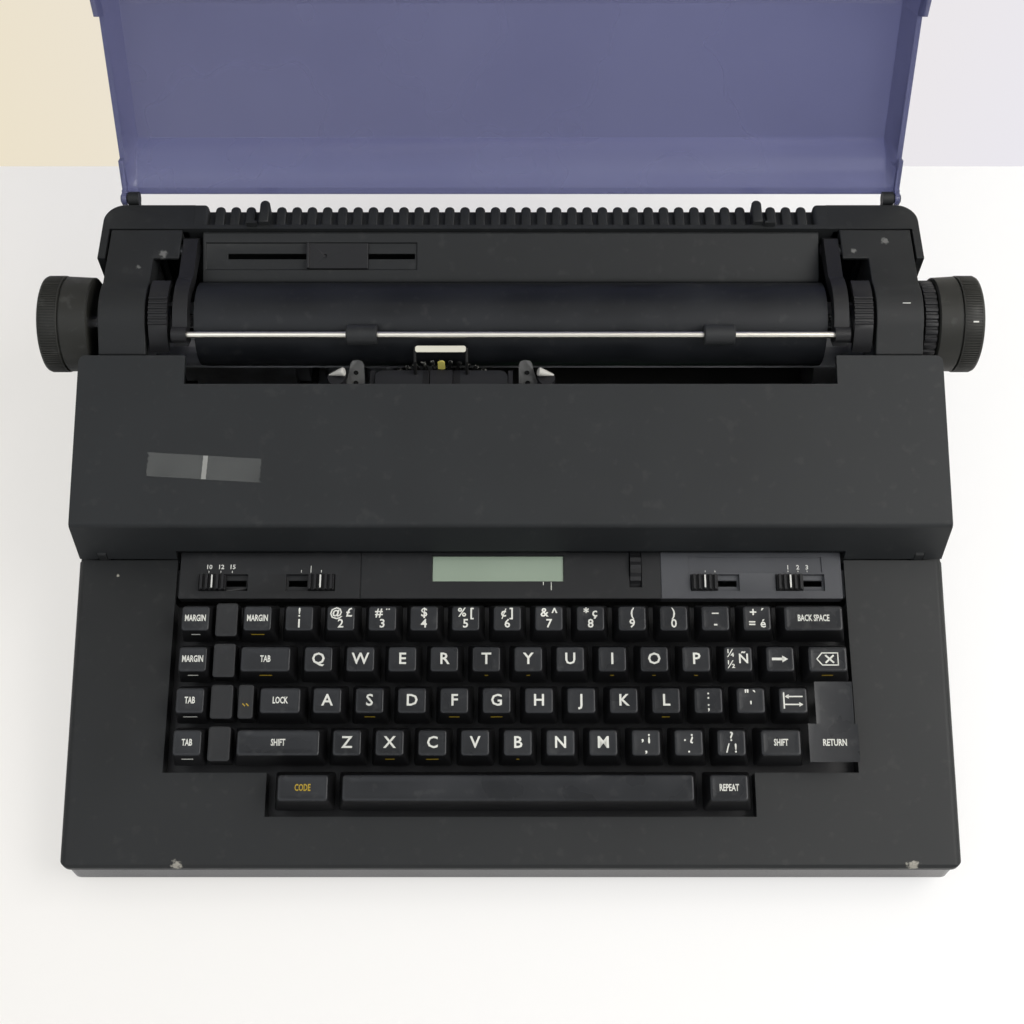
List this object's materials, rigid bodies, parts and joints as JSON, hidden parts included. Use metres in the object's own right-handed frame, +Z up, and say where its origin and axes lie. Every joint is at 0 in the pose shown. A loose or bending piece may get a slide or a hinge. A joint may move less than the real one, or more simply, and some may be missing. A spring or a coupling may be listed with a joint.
{
  "type": "electronic typewriter",
  "caption": "Portable electronic typewriter with a daisy print wheel, platen and knobs, a sloping keyboard and a clear hinged lid, shown open.",
  "frame": {"origin": "on the table under the middle of the machine's overall box, lid open", "axes": "+X to the typist's right along the platen, +Y from the front edge to the back, +Z up"},
  "size_m": [0.448, 0.4138, 0.4144],
  "materials": {
    "case": "fine grained moulding",
    "cover": "fine grained moulding",
    "panel": "smooth moulding",
    "key": "worn semi-gloss",
    "knob": "semi-gloss",
    "dark_plastic": "moulded",
    "pale_plastic": "moulded",
    "gear_plastic": "moulded",
    "lid": "clear smoked plastic",
    "display": "display cell",
    "rubber": "smooth ground rubber",
    "foot": "moulded",
    "steel": "plated",
    "rail": "ground",
    "zinc": "plated sheet",
    "board": "coated board",
    "belt": "toothed belt",
    "wheel": "moulded",
    "rod": "coated rod"
  },
  "bodies": {
    "chassis": {"base_tray": "case", "keyboard_deck": "case", "rear_case": "case", "end_covers": "case", "paper_table": "case", "control_panel": "panel", "display_module": "display", "feet": "foot", "case_screws": "steel", "power_inlet": "dark_plastic", "circuit_boards": "board", "power_supply": "zinc", "keyboard_plate": "dark_plastic", "side_frames": "zinc", "guide_rails": "rail", "paper_pan": "zinc", "motors": "steel", "drive_belt": "belt"},
    "platen": {"platen_roller": "rubber", "platen_shaft": "rail", "platen_gear": "gear_plastic", "left_knob": "knob", "right_knob": "knob"},
    "bail": {"bail_arms": "dark_plastic", "bail_rod": "rod"},
    "carriage": {"carriage_body": "dark_plastic", "ribbon_cassette": "dark_plastic", "ribbon_loop": "steel", "card_guides": "pale_plastic"},
    "access_cover": {"access_cover": "cover"},
    "paper_guide": {"paper_guide": "dark_plastic"},
    "thumbwheel": {"thumbwheel": "dark_plastic"},
    "drive_pulley": {"drive_pulley": "gear_plastic"},
    "idler_pulley": {"idler_pulley": "gear_plastic"},
    "feed_rollers": {"feed_rollers": "rubber"},
    "idler_gear": {"idler_gear": "gear_plastic"},
    "feed_pinion": {"feed_pinion": "steel"},
    "clutch_ring": {"clutch_ring": "dark_plastic"},
    "paper_release_lever": {"paper_release_lever": "dark_plastic"},
    "line_spacing_lever": {"line_spacing_lever": "dark_plastic"},
    "bail_rollers": {"bail_rollers": "rubber"},
    "print_wheel": {"print_wheel": "wheel"},
    "print_hammer": {"print_hammer": "steel"},
    "lid": {"lid": "lid"},
    "blank_keys": {"blank_keys": "panel"},
    "return_key": {"return_key": "key"},
    "pitch_switch": {"pitch_switch": "dark_plastic"},
    "mode_switch": {"mode_switch": "dark_plastic"},
    "keyboard_switch": {"keyboard_switch": "dark_plastic"},
    "spacing_switch": {"spacing_switch": "dark_plastic"},
    "number_keys": {"number_keys": "key"},
    "upper_letter_keys": {"upper_letter_keys": "key"},
    "home_letter_keys": {"home_letter_keys": "key"},
    "lower_letter_keys": {"lower_letter_keys": "key"},
    "margin_keys": {"margin_keys": "key"},
    "correction_keys": {"correction_keys": "key"},
    "tab_lock_keys": {"tab_lock_keys": "key"},
    "shift_keys": {"shift_keys": "key"},
    "code_repeat_keys": {"code_repeat_keys": "key"},
    "space_bar": {"space_bar": "key"}
  },
  "joints": [
    {"name": "lid_hinge", "type": "hinge", "parent": "chassis", "child": "lid", "pos_m": [0, 0.10465, 0.1075], "axis": [-1, 0, 0], "range_deg": [-118, 0]},
    {"name": "cover_hinge", "type": "hinge", "parent": "chassis", "child": "access_cover", "pos_m": [0, -0.06505, 0.0552], "axis": [1, 0, 0], "range_deg": [0, 65]},
    {"name": "platen_turn", "type": "hinge", "parent": "chassis", "child": "platen", "pos_m": [0, 0.04265, 0.088], "axis": [1, 0, 0], "continuous": true},
    {"name": "bail_lift", "type": "hinge", "parent": "chassis", "child": "bail", "pos_m": [0, 0.08015, 0.0985], "axis": [-1, 0, 0], "range_deg": [0, 18]},
    {"name": "bail_roller_turn", "type": "hinge", "parent": "bail", "child": "bail_rollers", "pos_m": [0, 0.02415, 0.105], "axis": [1, 0, 0], "continuous": true},
    {"name": "release_lever", "type": "hinge", "parent": "chassis", "child": "paper_release_lever", "pos_m": [0, 0.04265, 0.088], "axis": [1, 0, 0], "range_deg": [0, 30]},
    {"name": "spacing_lever", "type": "hinge", "parent": "chassis", "child": "line_spacing_lever", "pos_m": [0, 0.04265, 0.088], "axis": [1, 0, 0], "range_deg": [0, 24]},
    {"name": "clutch_turn", "type": "hinge", "parent": "chassis", "child": "clutch_ring", "pos_m": [0, 0.04265, 0.088], "axis": [1, 0, 0], "continuous": true},
    {"name": "paper_guide_slide", "type": "slide", "parent": "chassis", "child": "paper_guide", "axis": [1, 0, 0], "range_m": [-0.0491, 0.0234]},
    {"name": "carriage_slide", "type": "slide", "parent": "chassis", "child": "carriage", "axis": [1, 0, 0], "range_m": [-0.0768, 0.1432]},
    {"name": "print_wheel_turn", "type": "hinge", "parent": "carriage", "child": "print_wheel", "pos_m": [-0.0332, 0.01975, 0.056], "axis": [0, 1, 0], "continuous": true},
    {"name": "hammer_strike", "type": "slide", "parent": "carriage", "child": "print_hammer", "axis": [0, 1, 0], "range_m": [0, 0.0019], "stiffness_N_per_m": 60, "springref_m": -0.002},
    {"name": "drive_pulley_turn", "type": "hinge", "parent": "chassis", "child": "drive_pulley", "pos_m": [-0.152, -0.01085, 0.031], "axis": [0, 0, 1], "continuous": true},
    {"name": "idler_pulley_turn", "type": "hinge", "parent": "chassis", "child": "idler_pulley", "pos_m": [0.152, -0.01085, 0.031], "axis": [0, 0, 1], "continuous": true},
    {"name": "idler_gear_turn", "type": "hinge", "parent": "chassis", "child": "idler_gear", "pos_m": [0, 0.05261, 0.06064], "axis": [1, 0, 0], "continuous": true},
    {"name": "feed_pinion_turn", "type": "hinge", "parent": "chassis", "child": "feed_pinion", "pos_m": [0, 0.04972, 0.04579], "axis": [1, 0, 0], "continuous": true},
    {"name": "feed_roller_turn", "type": "hinge", "parent": "chassis", "child": "feed_rollers", "pos_m": [0, 0.05658, 0.0657], "axis": [1, 0, 0], "continuous": true},
    {"name": "pitch_switch_slide", "type": "slide", "parent": "chassis", "child": "pitch_switch", "axis": [1, 0, 0], "range_m": [0, 0.0098]},
    {"name": "mode_switch_slide", "type": "slide", "parent": "chassis", "child": "mode_switch", "axis": [1, 0, 0], "range_m": [-0.0098, 0]},
    {"name": "keyboard_switch_slide", "type": "slide", "parent": "chassis", "child": "keyboard_switch", "axis": [1, 0, 0], "range_m": [0, 0.0098]},
    {"name": "spacing_switch_slide", "type": "slide", "parent": "chassis", "child": "spacing_switch", "axis": [1, 0, 0], "range_m": [0, 0.0098]},
    {"name": "thumbwheel_turn", "type": "hinge", "parent": "chassis", "child": "thumbwheel", "pos_m": [0.0587, -0.06884, 0.04182], "axis": [1, 0, 0], "range_deg": [-60, 60]},
    {"name": "number_keys_press", "type": "slide", "parent": "chassis", "child": "number_keys", "axis": [0, 0.1822, -0.9833], "range_m": [0, 0.0035], "stiffness_N_per_m": 200, "springref_m": -0.003},
    {"name": "upper_letter_keys_press", "type": "slide", "parent": "chassis", "child": "upper_letter_keys", "axis": [0, 0.1822, -0.9833], "range_m": [0, 0.0035], "stiffness_N_per_m": 200, "springref_m": -0.003},
    {"name": "home_letter_keys_press", "type": "slide", "parent": "chassis", "child": "home_letter_keys", "axis": [0, 0.1822, -0.9833], "range_m": [0, 0.0035], "stiffness_N_per_m": 200, "springref_m": -0.003},
    {"name": "lower_letter_keys_press", "type": "slide", "parent": "chassis", "child": "lower_letter_keys", "axis": [0, 0.1822, -0.9833], "range_m": [0, 0.0035], "stiffness_N_per_m": 200, "springref_m": -0.003},
    {"name": "margin_keys_press", "type": "slide", "parent": "chassis", "child": "margin_keys", "axis": [0, 0.1822, -0.9833], "range_m": [0, 0.0035], "stiffness_N_per_m": 200, "springref_m": -0.003},
    {"name": "correction_keys_press", "type": "slide", "parent": "chassis", "child": "correction_keys", "axis": [0, 0.1822, -0.9833], "range_m": [0, 0.0035], "stiffness_N_per_m": 200, "springref_m": -0.003},
    {"name": "tab_lock_keys_press", "type": "slide", "parent": "chassis", "child": "tab_lock_keys", "axis": [0, 0.1822, -0.9833], "range_m": [0, 0.0035], "stiffness_N_per_m": 200, "springref_m": -0.003},
    {"name": "shift_keys_press", "type": "slide", "parent": "chassis", "child": "shift_keys", "axis": [0, 0.1822, -0.9833], "range_m": [0, 0.0035], "stiffness_N_per_m": 200, "springref_m": -0.003},
    {"name": "code_repeat_keys_press", "type": "slide", "parent": "chassis", "child": "code_repeat_keys", "axis": [0, 0.1822, -0.9833], "range_m": [0, 0.0035], "stiffness_N_per_m": 200, "springref_m": -0.003},
    {"name": "space_bar_press", "type": "slide", "parent": "chassis", "child": "space_bar", "axis": [0, 0.1822, -0.9833], "range_m": [0, 0.0035], "stiffness_N_per_m": 200, "springref_m": -0.003},
    {"name": "return_key_press", "type": "slide", "parent": "chassis", "child": "return_key", "axis": [0, 0.1822, -0.9833], "range_m": [0, 0.0035], "stiffness_N_per_m": 200, "springref_m": -0.003},
    {"name": "blank_keys_press", "type": "slide", "parent": "chassis", "child": "blank_keys", "axis": [0, 0.1822, -0.9833], "range_m": [0, 0.0035], "stiffness_N_per_m": 200, "springref_m": -0.003}
  ],
  "couplings": [
    {"joint": "drive_pulley_turn", "follows": "carriage_slide", "rad_per_m": 130.21},
    {"joint": "idler_pulley_turn", "follows": "carriage_slide", "rad_per_m": 130.21},
    {"joint": "idler_gear_turn", "follows": "platen_turn", "ratio": -1.9},
    {"joint": "feed_pinion_turn", "follows": "platen_turn", "ratio": 3.8},
    {"joint": "feed_roller_turn", "follows": "platen_turn", "ratio": -3.3333}
  ]
}
